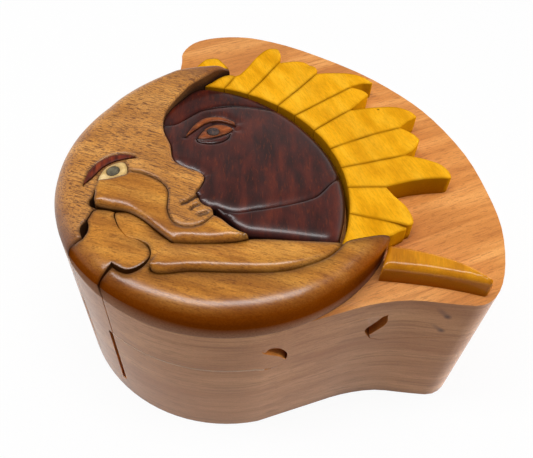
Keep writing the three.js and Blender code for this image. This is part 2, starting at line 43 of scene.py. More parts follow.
# Sizes of the model, in millimetres, as in its solids
blockTop = 50.0
moon = {"centre": (-13.8, -13.6), "radius": 45.2, "top": 59.5, "jawTop": 59.1, "rise": 0.06, "riseLimit": 1.2,
        "fallReach": 15.0, "tipFromX": -22.0, "tipBehindY": 20.0, "tipFall": 0.15,
        "onRim": 0.12, "bandDrop": 0.2,
        "turn": (95, 116, 147, 205, 232, 255, 315, 336),  # the rim by its angle, then the three rows below it
        "rounding": (3, 3, 8, 8, 6, 6, 6, 3), "band": (56.5, 56.5, 52.5, 52.5, 54.6, 55.2, 55.2, 56.2),
        "fall": (0, 0, 1, 1, 0, 0, 0, 0)}
sun = {"centre": (-25.5, -20.5), "radius": 42.4, "at": (-8.0, -10.0), "height": 58.8, "slopeX": -0.085,
       "slopeY": -0.08, "bow": 0.0012, "rimWidth": 3.0, "rimDrop": 2.0, "onRim": 0.25,
       "turn": (38, 66, 88, 105), "rimShare": (1.0, 0.25, 0.25, 0.9)}
rayTop = 56.2
modelTop = 60.65


# Camera, from the photograph

camera = {"place": (-3.0, -125.5, 171.4), "lookDown": 50.72, "roll": 3.65,  # millimetres and degrees
          "focalPixels": 606.9, "frameWidth": 533, "sensor": 36.0, "nearest": 0.01}


def addCamera(c):
    data = bpy.data.cameras.new("camera")
    data.sensor_width = c["sensor"]
    data.lens = c["focalPixels"] / c["frameWidth"] * c["sensor"]
    data.clip_start = c["nearest"]
    down, roll = math.radians(c["lookDown"]), math.radians(c["roll"])
    forward = Vector((0, math.cos(down), -math.sin(down)))
    right = Vector((1, 0, 0))
    up = right.cross(forward)
    across = math.cos(roll) * right + math.sin(roll) * up
    upright = -math.sin(roll) * right + math.cos(roll) * up
    obj = bpy.data.objects.new("camera", data)
    obj.matrix_world = Matrix.Translation(Vector(c["place"]) * mm) @ Matrix(
        (across, upright, -forward)).transposed().to_4x4()
    bpy.context.scene.collection.objects.link(obj)
    bpy.context.scene.camera = obj


addCamera(camera)
print("camera placed")


# Small helpers for shader nodes: numeric keys name the sockets that share a name

def addNode(tree, kind, sockets=None, **options):
    node = tree.nodes.new("ShaderNode" + kind)
    for name, value in options.items():
        setattr(node, name, value)
    for name, value in (sockets or {}).items():
        if isinstance(value, bpy.types.NodeSocket):
            tree.links.new(value, node.inputs[name])
        else:
            node.inputs[name].default_value = value
    return node


def addRamp(tree, factor, stops):
    node = addNode(tree, "ValToRGB", {"Fac": factor})
    ramp = node.color_ramp
    while len(ramp.elements) < len(stops):
        ramp.elements.new(0.5)
    for element, (position, colour) in zip(ramp.elements, stops):
        element.position = position
        element.color = tuple(colour) + (1,)
    return node.outputs["Color"]


def addMix(tree, factor, first, second):
    full = {0: factor}
    for key, colour in ((6, first), (7, second)):
        full[key] = colour if isinstance(colour, bpy.types.NodeSocket) else tuple(colour) + (1,)
    return addNode(tree, "Mix", full, data_type="RGBA").outputs[2]


def addMath(tree, operation, first, second, clamp=False):
    return addNode(tree, "Math", {0: first, 1: second}, operation=operation, use_clamp=clamp).outputs[0]


def addRange(tree, value, low, high, newLow=0.0, newHigh=1.0):
    sockets = {"Value": value, "From Min": low, "From Max": high, "To Min": newLow, "To Max": newHigh}
    return addNode(tree, "MapRange", sockets).outputs["Result"]


def newMaterial(name):
    material = bpy.data.materials.new(name)
    material.use_nodes = True
    material.node_tree.nodes.clear()
    return material, material.node_tree


# Wood: tone, growth lines and pores along the grain, dark saw cuts together with painted shade in creases,
# under raised edges and on upright sides, painted shade on rims and tips, and dull upright sides

woodNoise = {"tone": (3.0, 0.3, 0.0), "line": (4.0, 0.5, 7.0), "pore": (2.0, 0.0, 3.0),
             "patch": (2.0, 0.2, 11.0), "speckle": (2.0, 0.0, 5.0)}  # detail, distortion, shift
mostNoise = (0.3, 0.7)  # nearly all values of a noise lie between these

plainWood = {  # what a wood has where its own values say nothing
    "shift": 0.0, "toneRange": (0.32, 0.68), "lineRange": (0.52, 0.66), "poreFade": 0.06,
    "patchSize": (22, 14), "patchRange": (0.45, 0.72), "patchAmount": 0.0,
    "speckleSize": (0.5, 0.35), "speckle": 0.1, "knots": (), "jointsAndShade": 0.0, "bumpDepth": 0.08, "lineBump": 0.4,
    "sideMatt": 0.6, "sideRough": 0.4, "gloss": 0.5, "coat": 0.0, "coatRough": 0.2, "coatBend": 1.5,
    "sheen": 0.0, "sheenRough": 0.3}


def grainNoise(tree, place, w, layer, shift=0.0):
    size = w[layer + "Size"]  # along the grain, across it, and upwards where that differs
    detail, distortion, ownShift = woodNoise[layer]
    vector = addNode(tree, "Mapping", {
        "Vector": place, "Scale": (1 / size[0], 1 / size[1], 1 / size[-1]),
        "Location": (ownShift + shift,) * 3}).outputs[0]
    return addNode(tree, "TexNoise", {
        "Vector": vector, "Scale": 1.0, "Detail": detail, "Distortion": distortion}).outputs["Fac"]


def addKnot(tree, place, colour, spot):  # a soft dark eye in the wood, longer one way
    at, size = (tuple(c * mm for c in spot[key]) for key in ("at", "size"))
    turned = addNode(tree, "Mapping", {
        "Vector": place, "Location": at, "Scale": size,
        "Rotation": (0, math.radians(spot["turn"]), 0)}, vector_type="TEXTURE").outputs[0]
    distance = addNode(tree, "VectorMath", {0: turned}, operation="LENGTH").outputs["Value"]
    return addMix(tree, addRange(tree, distance, 0.2, 1.0, spot["amount"], 0.0), colour, spot["colour"])


def addAttribute(tree, name):
    return addNode(tree, "Attribute", attribute_name=name).outputs["Fac"]


def woodMaterial(name, own):
    w = {"patch": own["middle"], "seam": own["dark"], **plainWood, **own}
    material, tree = newMaterial(name)
    objectPlace = addNode(tree, "TexCoord").outputs["Object"]
    place = addNode(tree, "Mapping", {
        "Vector": objectPlace, "Scale": (1 / mm, 1 / mm, 1 / mm),
        "Rotation": (0, 0, math.radians(-w["grainAngle"]))}).outputs[0]
    tone = grainNoise(tree, place, w, "tone", w["shift"])
    lines, pores, patches = (grainNoise(tree, place, w, layer) for layer in ("line", "pore", "patch"))

    colour = addRamp(tree, addRange(tree, tone, *w["toneRange"]),
                     [(0.0, w["dark"]), (0.5, w["middle"]), (1.0, w["light"])])
    colour = addMix(tree, addRange(tree, patches, *w["patchRange"], 0, w["patchAmount"]), colour, w["patch"])
    lineMask = addRange(tree, lines, *w["lineRange"], 0, w["lineAmount"])
    colour = addMix(tree, lineMask, colour, w["line"])
    poreMask = addRange(tree, pores, w["poreCut"], w["poreCut"] + w["poreFade"], 0, w["poreAmount"])
    colour = addMix(tree, poreMask, colour, w["pore"])
    for spot in w["knots"]:
        colour = addKnot(tree, objectPlace, colour, spot)
    # painted shade on rounded rims, front edges, ray tips and upright sides, and darker horn tips
    if "rim" in w:
        rim = addAttribute(tree, "rim")
        colour = addMix(tree, rim, colour, w["rim"])
    if "foot" in w:
        colour = addMix(tree, addRange(tree, addAttribute(tree, "foot"), 0.3, 1.0, 0.0, 0.9), colour, w["foot"])
    # the joint colour: dark joints, with painted shade in creases, a painted shadow under raised edges, and
    # painted shade on the upright sides
    cut = addAttribute(tree, "seam")
    colour = addMix(tree, addMath(tree, "MULTIPLY", cut, w["jointsAndShade"], True), colour, w["seam"])
    speckle = grainNoise(tree, place, w, "speckle")
    shade = addRange(tree, speckle, *mostNoise, 1 - w["speckle"], 1 + w["speckle"])
    shade = addNode(tree, "CombineXYZ", {0: shade, 1: shade, 2: shade}).outputs[0]
    colour = addNode(tree, "VectorMath", {0: colour, 1: shade}, operation="MULTIPLY").outputs[0]
    side = addRange(tree, cut, 0.6, 1.0, 0.0, w["sideMatt"])  # the upright sides are hardly lacquered

    rough = addRange(tree, tone, *mostNoise, w["rough"] - 0.05, w["rough"] + 0.06)
    rough = addMath(tree, "ADD", rough, addMath(tree, "MULTIPLY", side, w["sideRough"]), True)
    coat = addMath(tree, "MULTIPLY", addMath(tree, "SUBTRACT", 1.0, side), w["coat"], True)
    if "rim" in w:
        coat = addMath(tree, "MULTIPLY", coat, addRange(tree, rim, 0.5, 0.95, 1.0, 0.0))
    height = addMath(tree, "ADD", addMath(tree, "MULTIPLY", poreMask, -1.0),
                     addMath(tree, "MULTIPLY", lineMask, -w["lineBump"]))
    bump = addNode(tree, "Bump", {
        "Height": height, "Strength": w["bump"], "Distance": w["bumpDepth"] * mm}).outputs[0]
    shader = addNode(tree, "BsdfPrincipled", {
        "Base Color": colour, "Roughness": rough, "Normal": bump, "Specular IOR Level": w["gloss"],
        "Coat Weight": coat, "Coat Roughness": w["coatRough"], "Coat IOR": w["coatBend"],
        "Sheen Weight": w["sheen"], "Sheen Roughness": w["sheenRough"]})
    tree.links.new(shader.outputs[0], addNode(tree, "OutputMaterial").inputs[0])
    return material


crownWood = woodMaterial("crownWood", {
    "grainAngle": -20, "toneSize": (26, 5), "lineSize": (12, 0.5), "poreSize": (2.8, 0.30),
    "dark": (0.43, 0.165, 0.026), "middle": (0.59, 0.248, 0.045), "light": (0.72, 0.335, 0.075),
    "line": (0.30, 0.11, 0.022), "lineAmount": 0.6, "pore": (0.13, 0.04, 0.010), "poreCut": 0.54,
    "poreAmount": 0.8, "patch": (0.36, 0.14, 0.03), "patchAmount": 0.4, "patchSize": (16, 8), "rough": 0.45,
    "bump": 0.4, "speckle": 0.2, "gloss": 0.3, "coat": 0.25, "coatRough": 0.18, "jointsAndShade": 0.92,
    "seam": (0.035, 0.010, 0.003), "rim": (0.18, 0.055, 0.014), "foot": (0.44, 0.25, 0.15)})

moonWood = woodMaterial("moonWood", {
    "grainAngle": -14, "toneSize": (22, 4), "lineSize": (9, 0.8), "poreSize": (1.8, 0.3),
    "dark": (0.41, 0.145, 0.015), "middle": (0.60, 0.238, 0.030), "light": (0.72, 0.325, 0.052),
    "line": (0.28, 0.090, 0.012), "lineAmount": 0.45, "pore": (0.16, 0.045, 0.008), "poreCut": 0.57,
    "poreAmount": 0.5, "patch": (0.30, 0.10, 0.016), "patchAmount": 0.55, "patchSize": (14, 7), "rough": 0.42,
    "bump": 0.3, "speckle": 0.15, "gloss": 0.0, "coat": 1.0, "coatRough": 0.25, "jointsAndShade": 0.92,
    "seam": (0.030, 0.008, 0.002), "rim": (0.17, 0.034, 0.001), "foot": (0.34, 0.19, 0.12)})

sunGrain = {
    "grainAngle": 94, "toneSize": (11, 4), "lineSize": (12, 1.2), "poreSize": (2.4, 0.5),
    "dark": (0.032, 0.007, 0.005), "middle": (0.066, 0.011, 0.007), "light": (0.105, 0.016, 0.007),
    "line": (0.022, 0.007, 0.007), "lineAmount": 0.5, "pore": (0.17, 0.030, 0.006), "poreCut": 0.60,
    "poreAmount": 0.3, "patch": (0.022, 0.010, 0.010), "patchAmount": 0.6, "patchSize": (9, 4.5),
    "rough": 0.35, "bump": 0.1, "gloss": 0.2, "coat": 0.55, "coatRough": 0.23, "jointsAndShade": 0.9,
    "seam": (0.010, 0.003, 0.003)}

sunWood = woodMaterial("sunWood", sunGrain)
foreheadWood = woodMaterial("foreheadWood", {
    **sunGrain, "gloss": 0.05, "coat": 0.3, "coatRough": 0.16, "shift": 4.0})

redWood = woodMaterial("redWood", {
    "grainAngle": 100, "toneSize": (6, 1.3), "lineSize": (8, 0.9), "poreSize": (1.6, 0.25),
    "dark": (0.08, 0.010, 0.004), "middle": (0.17, 0.022, 0.007), "light": (0.27, 0.042, 0.010),
    "line": (0.05, 0.006, 0.003), "lineAmount": 0.7, "pore": (0.05, 0.01, 0.006), "poreCut": 0.62,
    "poreAmount": 0.4, "rough": 0.5, "bump": 0.1, "gloss": 0.15, "jointsAndShade": 0.7, "seam": (0.04, 0.01, 0.004)})

lidWood = woodMaterial("lidWood", {
    "grainAngle": 30, "toneSize": (5, 1.5), "lineSize": (8, 0.6), "poreSize": (1.4, 0.25),
    "dark": (0.21, 0.045, 0.009), "middle": (0.33, 0.080, 0.016), "light": (0.44, 0.120, 0.026),
    "line": (0.16, 0.030, 0.008), "lineAmount": 0.4, "pore": (0.10, 0.02, 0.006), "poreCut": 0.6,
    "poreAmount": 0.4, "rough": 0.45, "bump": 0.15, "gloss": 0.2, "coat": 0.15, "jointsAndShade": 0.8,
    "seam": (0.03, 0.008, 0.004)})

rayLook = {
    "grainAngle": 118, "toneSize": (14, 5), "lineSize": (5, 0.6), "poreSize": (0.7, 0.3),
    "line": (0.72, 0.28, 0.006), "lineAmount": 0.25, "pore": (0.60, 0.24, 0.006), "poreCut": 0.56,
    "poreAmount": 0.25, "bump": 0.35, "speckle": 0.09, "speckleSize": (2.2, 0.35), "rim": (0.47, 0.23, 0.012)}
rayKnot = {"at": (27.7, 17.0, 56.0), "size": (0.5, 0.4, 3.0), "turn": 0, "amount": 1.0,
           "colour": (0.02, 0.01, 0.003)}

rayWood = woodMaterial("rayWood", {
    **rayLook, "dark": (0.76, 0.325, 0.006), "middle": (0.93, 0.435, 0.012), "light": (1.0, 0.51, 0.024),
    "patch": (0.72, 0.32, 0.012), "patchAmount": 0.5, "rough": 0.7, "gloss": 0.0,
    "jointsAndShade": 0.9, "seam": (0.31, 0.120, 0.0005), "knots": [rayKnot]})

amberWood = woodMaterial("amberWood", {
    **rayLook, "dark": (0.50, 0.17, 0.004), "middle": (0.66, 0.245, 0.006), "light": (0.78, 0.32, 0.010),
    "grainAngle": 84, "rough": 0.45, "gloss": 0.05, "coat": 0.6, "coatRough": 0.17,
    "jointsAndShade": 0.9, "seam": (0.38, 0.11, 0.001)})

eyeWood = woodMaterial("eyeWood", {
    "grainAngle": 20, "toneSize": (8, 2), "lineSize": (8, 0.5), "poreSize": (1.2, 0.2),
    "dark": (0.68, 0.44, 0.15), "middle": (0.82, 0.56, 0.22), "light": (0.90, 0.66, 0.32),
    "line": (0.60, 0.37, 0.13), "lineAmount": 0.3, "pore": (0.40, 0.25, 0.09), "poreCut": 0.64,
    "poreAmount": 0.3, "rough": 0.5, "bump": 0.15, "gloss": 0.2, "jointsAndShade": 0.6, "seam": (0.2, 0.09, 0.02)})

pupilLook = {
    "grainAngle": 70, "toneSize": (2.0, 1.0), "lineSize": (3, 0.5), "poreSize": (0.9, 0.35), "lineAmount": 0.5,
    "poreCut": 0.56, "poreAmount": 0.5, "rough": 0.5, "bump": 0.1, "gloss": 0.2, "jointsAndShade": 0.6}

pupilWood = woodMaterial("pupilWood", {
    **pupilLook, "dark": (0.09, 0.075, 0.05), "middle": (0.17, 0.145, 0.09), "light": (0.27, 0.23, 0.14),
    "line": (0.08, 0.065, 0.04), "pore": (0.05, 0.04, 0.03), "seam": (0.05, 0.03, 0.015)})

darkWood = woodMaterial("darkWood", {
    **pupilLook, "dark": (0.02, 0.016, 0.018), "middle": (0.045, 0.036, 0.038), "light": (0.11, 0.075, 0.06),
    "line": (0.02, 0.016, 0.018), "pore": (0.16, 0.06, 0.03), "seam": (0.03, 0.012, 0.008)})

beechLook = {
    "toneSize": (50, 6), "lineSize": (26, 0.9), "poreSize": (2.6, 0.3), "lineAmount": 0.35,
    "poreCut": 0.56, "poreAmount": 0.35, "rough": 0.55, "bump": 0.15, "speckle": 0.07, "gloss": 0.3}

# the top and the walls are lit and shaded copies of one beech: the top painted lighter and more orange, the
# walls darker and greyer
beechTopLit = woodMaterial("beechTopLit", {
    **beechLook, "grainAngle": 27, "coat": 0.1, "coatRough": 0.3, "poreSize": (3.4, 0.4), "poreAmount": 0.5,
    "dark": (0.58, 0.205, 0.040), "middle": (0.70, 0.270, 0.060), "light": (0.86, 0.39, 0.110),
    "line": (0.50, 0.165, 0.032), "lineAmount": 0.5, "pore": (0.40, 0.125, 0.026)})

stainCore, stainEdge = (0.10, 0.045, 0.030), (0.14, 0.065, 0.042)
stains = [  # two dark marks on the right of the front, each a core in a wider edge
    {"at": (42.8, -45.5, 44.1), "size": (1.6, 6.0, 1.1), "turn": 45, "amount": 0.85, "colour": stainCore},
    {"at": (41.2, -45.5, 45.8), "size": (3.2, 6.0, 1.1), "turn": 45, "amount": 0.5, "colour": stainEdge},
    {"at": (42.9, -45.5, 37.5), "size": (1.5, 6.0, 1.1), "turn": 40, "amount": 0.8, "colour": stainCore},
    {"at": (41.6, -45.5, 38.7), "size": (2.8, 6.0, 1.0), "turn": 40, "amount": 0.45, "colour": stainEdge}]

beechWallShaded = woodMaterial("beechWallShaded", {
    **beechLook, "grainAngle": 3,
    "toneSize": (50, 18, 6), "lineSize": (60, 2.5, 0.7), "poreSize": (7.0, 0.8, 0.25),
    "dark": (0.38, 0.156, 0.060), "middle": (0.455, 0.203, 0.084), "light": (0.55, 0.265, 0.115),
    "line": (0.30, 0.125, 0.050), "lineAmount": 0.6, "pore": (0.27, 0.108, 0.043), "gloss": 0.0,
    "coat": 0.8, "coatRough": 0.22, "coatBend": 1.25, "sheen": 0.15, "knots": stains})

# painted highlight: the pale eased seam between lid and base
beechSeamHighlight = woodMaterial("beechSeamHighlight", {
    **beechLook, "grainAngle": 3,
    "dark": (0.62, 0.42, 0.28), "middle": (0.72, 0.52, 0.37), "light": (0.82, 0.62, 0.46),
    "line": (0.58, 0.38, 0.25), "pore": (0.55, 0.36, 0.24)})

beechSawn = woodMaterial("beechSawn", {
    **beechLook, "grainAngle": 2,
    "dark": (0.44, 0.150, 0.024), "middle": (0.62, 0.230, 0.042), "light": (0.74, 0.30, 0.07),
    "line": (0.38, 0.12, 0.02), "pore": (0.30, 0.09, 0.02), "rough": 0.8})

print("woods mixed")


# Felt for the compartment's floor

felt = {"dark": (0.006, 0.005, 0.005), "light": (0.030, 0.024, 0.024), "fibre": 0.35, "clump": 2.5,
        "bump": 0.6, "bumpDepth": 0.2, "sheen": 0.5, "sheenRough": 0.6}


def feltMaterial(f):
    material, tree = newMaterial("felt")
    place = addNode(tree, "TexCoord").outputs["Object"]
    fibre, clump = (addNode(tree, "TexNoise", {
        "Vector": place, "Scale": 1 / (f[layer] * mm), "Detail": detail}).outputs["Fac"]
        for layer, detail in (("fibre", 4.0), ("clump", 2.0)))
    mixed = addMath(tree, "MULTIPLY", fibre, addRange(tree, clump, *mostNoise, 0.7, 1.2))
    colour = addRamp(tree, mixed, [(0.3, f["dark"]), (0.75, f["light"])])
    bump = addNode(tree, "Bump", {
        "Height": fibre, "Strength": f["bump"], "Distance": f["bumpDepth"] * mm}).outputs[0]
    shader = addNode(tree, "BsdfPrincipled", {
        "Base Color": colour, "Roughness": 1.0, "Normal": bump,
        "Sheen Weight": f["sheen"], "Sheen Roughness": f["sheenRough"]})
    tree.links.new(shader.outputs[0], addNode(tree, "OutputMaterial").inputs[0])
    return material


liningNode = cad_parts["floor_lining"]
liningNode.data.materials.clear()
liningNode.data.materials.append(feltMaterial(felt))


# Outlines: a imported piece's underside gives its outline, which is then drawn as a smooth curve

def undersideLoops(node):  # closed loops in millimetres, the wood on the left of each
    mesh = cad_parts[node].data
    low = min(v.co.z for v in mesh.vertices)
    spots, index = {}, []
    for v in mesh.vertices:
        key = (round(v.co.x / mm, 3), round(v.co.y / mm, 3))
        index.append(spots.setdefault(key, len(spots)) if v.co.z < low + 0.01 * mm else None)
    edges = set()
    for face in mesh.polygons:
        ring = [index[i] for i in face.vertices]
        if None not in ring:
            edges.update(zip(ring, ring[1:] + ring[:1]))
    border = {b: a for a, b in edges if (b, a) not in edges and a != b}  # undersides face down, so turned round
    points, loops = list(spots), []
    while border:
        start = next(iter(border))
        loop, at = [], start
        while at in border:
            loop.append(points[at])
            at = border.pop(at)
        if len(loop) > 5:
            loops.append(np.array(loop))
    return loops


def turnAt(points):  # how far the outline turns at each point, in radians
    before = points - np.roll(points, 1, 0)
    after = np.roll(points, -1, 0) - points
    cross = before[:, 0] * after[:, 1] - before[:, 1] * after[:, 0]
    return np.arctan2(cross, (before * after).sum(1))


outlineCurve = {"corner": math.radians(33), "joined": 0.04}  # points nearer than this count as one


def smoothLoop(points, step):  # a curve through the points, except at sharp corners
    points = points[np.hypot(*(np.roll(points, -1, 0) - points).T) > outlineCurve["joined"]]
    sharp = np.abs(turnAt(points)) > outlineCurve["corner"]
    count, out = len(points), []
    for i in range(count):
        a, b = points[i], points[(i + 1) % count]
        before = 2 * a - b if sharp[i] else points[i - 1]
        after = 2 * b - a if sharp[(i + 1) % count] else points[(i + 2) % count]
        startPull, endPull = pull(before, a, b), -pull(after, b, a)
        parts = max(1, round(np.hypot(*(b - a)) / step))
        out += [hermite(a, b, startPull, endPull, k / parts) for k in range(parts)]
    return np.array(out)


def pull(beyond, here, there):  # direction of the curve at a point, as long as the span that it leads into
    span = np.hypot(*(there - here))
    first = (here - beyond) / max(1e-6, np.hypot(*(here - beyond)))
    second = (there - here) / max(1e-6, span)
    both = first + second
    return both / max(1e-6, np.hypot(*both)) * span


def hermite(a, b, startPull, endPull, t):
    return ((2 * t**3 - 3 * t**2 + 1) * a + (t**3 - 2 * t**2 + t) * startPull
            + (3 * t**2 - 2 * t**3) * b + (t**3 - t**2) * endPull)


def insideLoops(spots, loops):
    inside = np.zeros(len(spots), bool)
    x, y = spots[:, 0:1], spots[:, 1:2]
    for loop in loops:
        x1, y1 = loop[:, 0][None], loop[:, 1][None]
        x2, y2 = np.roll(loop[:, 0], -1)[None], np.roll(loop[:, 1], -1)[None]
        crosses = (y1 > y) != (y2 > y)
        at = x1 + (y - y1) * (x2 - x1) / np.where(y2 == y1, 1e-9, y2 - y1)
        inside ^= ((crosses & (x < at)).sum(1) % 2).astype(bool)
    return inside


def nearestEdge(spots, loops, skip=None, batch=2000):  # how far in a spot is, and which way the edge faces
    starts = np.concatenate(loops)
    ends = np.concatenate([np.roll(loop, -1, 0) for loop in loops])
    if skip is not None:
        keep = ~(skip(starts) & skip(ends))
        starts, ends = starts[keep], ends[keep]
    if not len(starts):
        return np.full(len(spots), 99.0), np.zeros((len(spots), 2))  # no edge is left, so all are far from it
    along = ends - starts
    lengths = np.maximum(1e-9, (along**2).sum(1))
    facing = np.stack([along[:, 1], -along[:, 0]], 1) / np.sqrt(lengths)[:, None]
    distance, direction = np.empty(len(spots)), np.empty((len(spots), 2))
    for first in range(0, len(spots), batch):
        part = spots[first:first + batch]
        away = part[:, None] - starts[None]
        t = np.clip((away * along[None]).sum(2) / lengths[None], 0, 1)
        squared = ((away - t[..., None] * along[None])**2).sum(2)
        nearest = squared.argmin(1)
        distance[first:first + batch] = np.sqrt(squared[np.arange(len(part)), nearest])
        direction[first:first + batch] = facing[nearest]
    return distance, direction


# Carved pieces: rings that follow the outline, a grid further in, and a height for every point

mesher = {"outlineStep": 0.45, "corner": math.radians(35),
          "rings": (0.10, 0.26, 0.48, 0.78, 1.15, 1.6, 2.2, 2.9), "ringGap": (0.3, 0.6),
          "gridStep": 0.75, "gridRow": 0.87, "gridInset": 0.3, "gridGap": 0.72,
          "cutStep": 0.3, "cutRows": (0, 0.3, -0.3, 0.65, -0.65, 1.1, -1.1), "cutInset": 0.25, "cutGap": 0.22}


def outwardAt(loop):  # straight out of the outline at each of its points
    after = np.roll(loop, -1, 0) - loop
    before = loop - np.roll(loop, 1, 0)
    outward = np.stack([(after + before)[:, 1], -(after + before)[:, 0]], 1)
    return outward / np.maximum(1e-9, np.hypot(*outward.T))[:, None]


def innerPoints(loops, m, first):
    accepted, cells = [], {}
    cell = m["gridStep"]

    def tooClose(p, gap):
        i, j = int(p[0] // cell), int(p[1] // cell)
        return any((p[0] - q[0])**2 + (p[1] - q[1])**2 < gap * gap
                   for a in (i - 1, i, i + 1) for b in (j - 1, j, j + 1) for q in cells.get((a, b), ()))

    def offer(spots, gap):
        for p in spots:
            if not tooClose(p, gap):
                cells.setdefault((int(p[0] // cell), int(p[1] // cell)), []).append(p)
                accepted.append(p)

    if len(first):
        depth, _ = nearestEdge(first, loops)
        offer(first[(depth > m["cutInset"]) & insideLoops(first, loops)], m["cutGap"])
    for distance in m["rings"]:
        ring = []
        for loop in loops:
            narrowing = np.maximum(0.5, np.cos(turnAt(loop) / 2))  # keeps the ring's distance round a corner
            ring.append(loop - outwardAt(loop) * (distance / narrowing)[:, None])
        ring = np.concatenate(ring)
        depth, _ = nearestEdge(ring, loops)
        ring = ring[(depth > distance * 0.97) & insideLoops(ring, loops)]
        offer(ring, max(m["ringGap"][0], min(m["ringGap"][1], distance * 0.45 + 0.2)))
    allPoints = np.concatenate(loops)
    low, high = allPoints.min(0), allPoints.max(0)
    rows = np.arange(low[1], high[1], m["gridStep"] * m["gridRow"])
    grid = np.array([(x + (r % 2) * m["gridStep"] / 2, y) for r, y in enumerate(rows)
                     for x in np.arange(low[0], high[0], m["gridStep"])])
    grid = grid[insideLoops(grid, loops)]
    depth, _ = nearestEdge(grid, loops)
    offer(grid[depth > m["gridInset"]], m["gridStep"] * m["gridGap"])
    return np.array(accepted).reshape(-1, 2)


def softNoise(x, y, size, seed):
    return noise.noise(Vector((x / size, y / size, seed)))


def edgeDrop(distance, width, drop):  # quarter of an ellipse from an upright side to the top
    away = 1 - np.clip(distance / width, 0, 1)
    return drop * (1 - np.sqrt(np.maximum(0, 1 - away**2)))


def grown(loop, amount, skip):  # the outline moved outwards, except where it follows a rim
    moved = loop + outwardAt(loop) * amount
    if skip is not None:
        moved[skip(loop)] = loop[skip(loop)]
    return moved


def carvedDepth(spots, cuts):
    depth = np.zeros(len(spots))
    for cut in cuts:
        path = np.array(cut["path"], float)
        loops = [np.concatenate([path, path[::-1]])]
        distance, _ = nearestEdge(spots, loops)
        depth += cut["depth"] * np.exp(-(distance / cut["width"])**2)
    return depth


def insideRim(spots, disc):  # how far in from the rim of the moon or the sun
    return disc["radius"] - np.hypot(spots[:, 0] - disc["centre"][0], spots[:, 1] - disc["centre"][1])


def turnRound(spots, disc):  # degrees round the centre, from the right
    return np.degrees(np.arctan2(spots[:, 1] - disc["centre"][1], spots[:, 0] - disc["centre"][0]))


def onMoonRim(spots):
    return np.abs(insideRim(spots, moon)) < moon["onRim"]


def onSunRim(spots):
    return np.abs(insideRim(spots, sun)) < sun["onRim"]


# the rim's painted shade: how far it reaches in and how it changes round the rim, and the pale foot of the rim
# band
rimLook = {"reach": 3.4, "side": 0.1, "front": 1.6,
           "turn": (90, 150, 205, 235, 265, 330), "foot": (0.2, 0.8, 0.9, 0.6, 0.1, 0.0)}


def moonRimShade(spots):  # painted shade: the rounding of the rim is darker towards its foot, most at the front
    inward = np.maximum(0, insideRim(spots, moon))
    y = spots[:, 1] - moon["centre"][1]
    front = np.clip(rimLook["side"] - y / moon["radius"] * rimLook["front"], 0, 1)
    return np.exp(-(inward / rimLook["reach"])**2) * front


def footShade(spots):  # the low upright side of the rim is pale as the beech on the left, and keeps more of the rim's painted shade in front
    return np.interp(turnRound(spots, moon) % 360, rimLook["turn"], rimLook["foot"])


def addMask(mesh, name, values):
    mask = mesh.attributes.new(name, "FLOAT", "POINT")
    mask.data.foreach_set("value", np.clip(values, 0, 1).astype(np.float32))


def alongCuts(cuts):  # close rows of points on both sides of each cut
    rows = []
    for cut in cuts:
        path = np.array(cut["path"], float)
        for a, b in zip(path[:-1], path[1:]):
            length = np.hypot(*(b - a))
            across = np.array([a[1] - b[1], b[0] - a[0]]) / length
            steps = np.arange(0, length, mesher["cutStep"])[:, None] / length
            rows += [a + (b - a) * steps + across * shift for shift in mesher["cutRows"]]
    return np.concatenate(rows) if rows else np.empty((0, 2))


def trianglesInside(spots, edges, loops):  # as numbers of the spots at their corners
    points, _, triangles, origins, _, _ = geometry.delaunay_2d_cdt(
        [Vector(s) for s in spots], edges, [], 0, 1e-5, True)
    source = [o[0] if o else None for o in origins]
    centres = np.array([[sum(points[i][k] for i in t) / 3 for k in (0, 1)] for t in triangles])
    corners = [[source[i] for i in t] for t, keep in zip(triangles, insideLoops(centres, loops)) if keep]
    return [c for c in corners if None not in c and len(set(c)) == 3]


def carvedMesh(name, loops, spots, top):  # a carved top, upright sides and a level underside
    edges, rimCount = [], 0
    for loop in loops:
        edges += [(rimCount + i, rimCount + (i + 1) % len(loop)) for i in range(len(loop))]
        rimCount += len(loop)
    bm = bmesh.new()
    upper = [bm.verts.new(Vector((x, y, z)) * mm) for (x, y), z in zip(spots, top)]
    lower = [bm.verts.new(Vector((x, y, blockTop)) * mm) for x, y in spots[:rimCount]]
    for corners in trianglesInside(spots, edges, loops):
        bm.faces.new([upper[i] for i in corners]).smooth = True
    for a, b in edges:
        bm.faces.new((lower[a], lower[b], upper[b], upper[a])).smooth = True
        bm.edges.get((lower[a], lower[b])).smooth = False
    turns = np.concatenate([np.abs(turnAt(loop)) for loop in loops])
    for i in np.flatnonzero(turns > mesher["corner"]):
        bm.edges.get((lower[i], upper[i])).smooth = False
    for corners in trianglesInside(spots[:rimCount], edges, loops):
        bm.faces.new([lower[i] for i in reversed(corners)])
    mesh = bpy.data.meshes.new(name + "_carved")
    bm.to_mesh(mesh)
    bm.free()
    return mesh


plainPiece = {  # what a piece has where its own values say nothing
    "grow": 0.12, "waveSize": 7.0, "seed": 0.0, "flush": (), "cuts": (), "skipRim": None,
    "jointShadeWidth": 0.25, "cutShade": 1.3, "frontShade": 0.0, "backShade": 0.0, "tipShade": 0.0}


